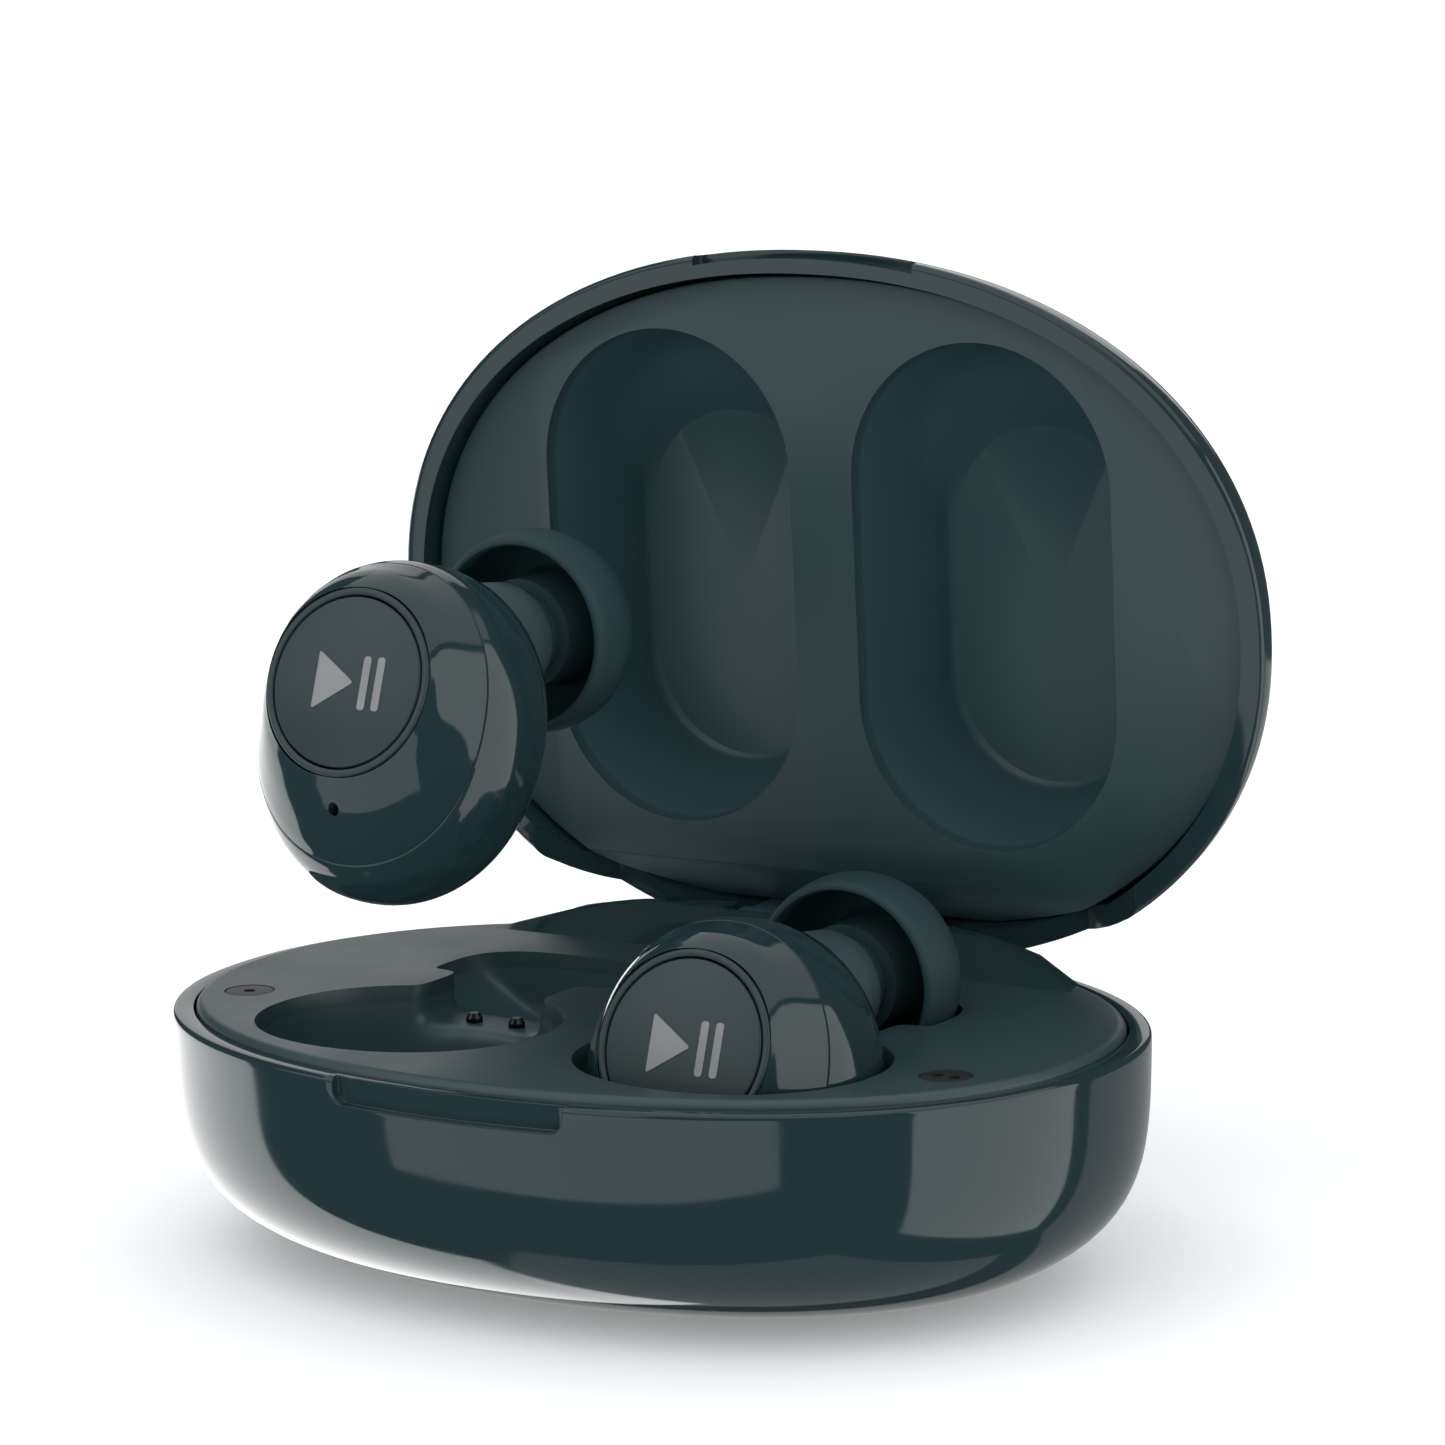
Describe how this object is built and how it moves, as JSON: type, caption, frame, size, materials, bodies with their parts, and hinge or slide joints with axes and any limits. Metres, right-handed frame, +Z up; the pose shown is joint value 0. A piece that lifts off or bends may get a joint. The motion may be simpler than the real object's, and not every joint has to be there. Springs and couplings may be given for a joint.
{
  "type": "wireless earbuds case",
  "caption": "Oval glossy charging case standing open, with one earbud seated in its pocket and the other lifted above its seat; the lid swings on a rear hinge.",
  "frame": {"origin": "centre of the base's flat bottom face", "axes": "+Z up, +X to the right as seen from the front, -Y towards the thumb notch at the front"},
  "size_m": [0.06, 0.0556, 0.0569],
  "materials": {
    "gloss_shell": "polished black ABS",
    "satin_liner": "satin moulded dark grey ABS",
    "satin_button": "satin moulded dark grey ABS",
    "silver_print": "silver pad print",
    "silicone_tip": "matte dark silicone",
    "steel_mesh": "fine woven steel",
    "dark_contact": "black nickel plated",
    "circuit_board": "green solder mask",
    "battery_foil": "foil pouch or can",
    "nickel_magnet": "nickel plated",
    "steel": "drawn steel",
    "black_plastic": "moulded black plastic"
  },
  "bodies": {
    "base": {"base_shell": "gloss_shell", "tray": "satin_liner", "hinge_cover": "gloss_shell", "hinge_pin": "steel", "mark_left": "black_plastic", "mark_right": "black_plastic", "main_board": "circuit_board", "case_battery": "battery_foil", "usb_port": "steel", "usb_tongue": "black_plastic", "pin_block_left": "black_plastic", "pin_block_right": "black_plastic", "seat_magnet_left": "nickel_magnet", "seat_magnet_right": "nickel_magnet", "latch_magnet_base": "nickel_magnet", "hall_sensor": "black_plastic"},
    "lid": {"lid_shell": "gloss_shell", "lid_liner": "satin_liner", "lid_hinge_arm": "satin_liner", "latch_magnet_lid": "nickel_magnet", "hall_magnet": "nickel_magnet"},
    "bud_left": {"left_front_shell": "gloss_shell", "left_bezel_ring": "satin_liner", "left_rear_shell": "gloss_shell", "left_ear_tip": "silicone_tip", "left_nozzle_mesh": "steel_mesh", "left_charge_pads": "dark_contact", "left_battery": "battery_foil", "left_board": "circuit_board", "left_driver": "black_plastic", "left_switch": "steel", "left_microphone": "black_plastic", "left_magnet": "nickel_magnet"},
    "bud_right": {"right_front_shell": "gloss_shell", "right_bezel_ring": "satin_liner", "right_rear_shell": "gloss_shell", "right_ear_tip": "silicone_tip", "right_nozzle_mesh": "steel_mesh", "right_charge_pads": "dark_contact", "right_battery": "battery_foil", "right_board": "circuit_board", "right_driver": "black_plastic", "right_switch": "steel", "right_microphone": "black_plastic", "right_magnet": "nickel_magnet"},
    "button_left": {"left_button": "satin_button", "left_button_mark": "silver_print"},
    "button_right": {"right_button": "satin_button", "right_button_mark": "silver_print"},
    "pin_left_a": {"pin_left_a": "dark_contact"},
    "pin_left_b": {"pin_left_b": "dark_contact"},
    "pin_right_a": {"pin_right_a": "dark_contact"},
    "pin_right_b": {"pin_right_b": "dark_contact"}
  },
  "joints": [
    {"name": "lid_hinge", "type": "hinge", "parent": "base", "child": "lid", "pos_m": [0, 0.0203, 0.01437], "axis": [-1, 0, 0], "range_deg": [-87.3, 0]},
    {"name": "bud_left_lift", "type": "slide", "parent": "base", "child": "bud_left", "axis": [0, 0, 1], "range_m": [-0.0188, 0]},
    {"name": "bud_right_lift", "type": "slide", "parent": "base", "child": "bud_right", "axis": [0, 0, 1], "range_m": [0, 0.022]},
    {"name": "button_left_press", "type": "slide", "parent": "bud_left", "child": "button_left", "axis": [0, -0.9409, 0.3387], "range_m": [-0.0003, 0], "stiffness_N_per_m": 600},
    {"name": "button_right_press", "type": "slide", "parent": "bud_right", "child": "button_right", "axis": [0, -0.9409, 0.3387], "range_m": [-0.0003, 0], "stiffness_N_per_m": 600},
    {"name": "pin_left_a_travel", "type": "slide", "parent": "base", "child": "pin_left_a", "axis": [0, 0, 1], "range_m": [-0.0004, 0], "stiffness_N_per_m": 150},
    {"name": "pin_left_b_travel", "type": "slide", "parent": "base", "child": "pin_left_b", "axis": [0, 0, 1], "range_m": [-0.0004, 0], "stiffness_N_per_m": 150},
    {"name": "pin_right_a_travel", "type": "slide", "parent": "base", "child": "pin_right_a", "axis": [0, 0, 1], "range_m": [-0.0004, 0], "stiffness_N_per_m": 150},
    {"name": "pin_right_b_travel", "type": "slide", "parent": "base", "child": "pin_right_b", "axis": [0, 0, 1], "range_m": [-0.0004, 0], "stiffness_N_per_m": 150}
  ],
  "couplings": [
    {"joint": "bud_left_lift", "follows": "lid_hinge", "m_per_rad": 0.012332}
  ]
}
